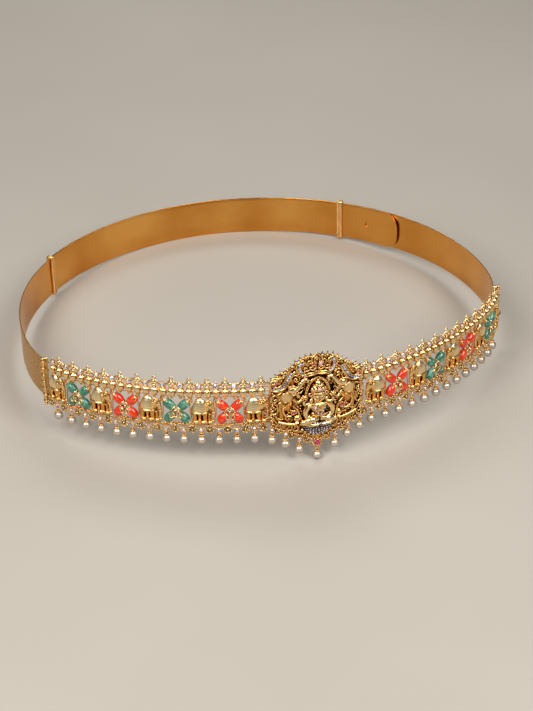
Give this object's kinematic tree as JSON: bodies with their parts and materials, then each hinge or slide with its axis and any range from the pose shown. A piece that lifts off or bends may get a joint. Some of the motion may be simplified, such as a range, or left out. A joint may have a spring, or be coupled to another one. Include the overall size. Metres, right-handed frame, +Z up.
{
  "type": "oddiyanam waist belt",
  "caption": "Gold waist belt: a closed loop of two sliding bands at the back and an openwork front panel of elephants, gem flowers and pearls round a medallion.",
  "frame": {"origin": "centre of the footprint, on the surface that the belt stands on", "axes": "+Z up, -Y towards the front medallion, +X to the right as seen from the front"},
  "size_m": [0.2748, 0.2543, 0.0633],
  "materials": {
    "gold": "polished antique gold, darker in the recesses",
    "pearl": "pearl lustre",
    "coral": "polished coral red",
    "green_stone": "polished translucent green with pale veins",
    "ruby": "faceted magenta red",
    "diamond": "faceted clear"
  },
  "bodies": {
    "root": {"band_left": "gold", "band_right": "gold", "coral_flower_left_1": "coral", "coral_flower_left_3": "coral", "coral_flower_right_1": "coral", "coral_flower_right_3": "coral", "elephant_left_1": "gold", "elephant_left_2": "gold", "elephant_left_3": "gold", "elephant_left_4": "gold", "elephant_left_5": "gold", "elephant_right_1": "gold", "elephant_right_2": "gold", "elephant_right_3": "gold", "elephant_right_4": "gold", "elephant_right_5": "gold", "fluted_beads_left": "gold", "fluted_beads_right": "gold", "green_flower_left_2": "green_stone", "green_flower_left_4": "green_stone", "green_flower_right_2": "green_stone", "green_flower_right_4": "green_stone", "keeper_left": "gold", "keeper_right": "gold", "medallion": "gold", "panel_frame_left": "gold", "panel_frame_right": "gold", "pearl_centre": "pearl", "pearl_left_1": "pearl", "pearl_left_10": "pearl", "pearl_left_11": "pearl", "pearl_left_12": "pearl", "pearl_left_13": "pearl", "pearl_left_14": "pearl", "pearl_left_15": "pearl", "pearl_left_16": "pearl", "pearl_left_2": "pearl", "pearl_left_3": "pearl", "pearl_left_4": "pearl", "pearl_left_5": "pearl", "pearl_left_6": "pearl", "pearl_left_7": "pearl", "pearl_left_8": "pearl", "pearl_left_9": "pearl", "pearl_right_1": "pearl", "pearl_right_10": "pearl", "pearl_right_11": "pearl", "pearl_right_12": "pearl", "pearl_right_13": "pearl", "pearl_right_14": "pearl", "pearl_right_15": "pearl", "pearl_right_16": "pearl", "pearl_right_2": "pearl", "pearl_right_3": "pearl", "pearl_right_4": "pearl", "pearl_right_5": "pearl", "pearl_right_6": "pearl", "pearl_right_7": "pearl", "pearl_right_8": "pearl", "pearl_right_9": "pearl"}
  },
  "joints": []
}
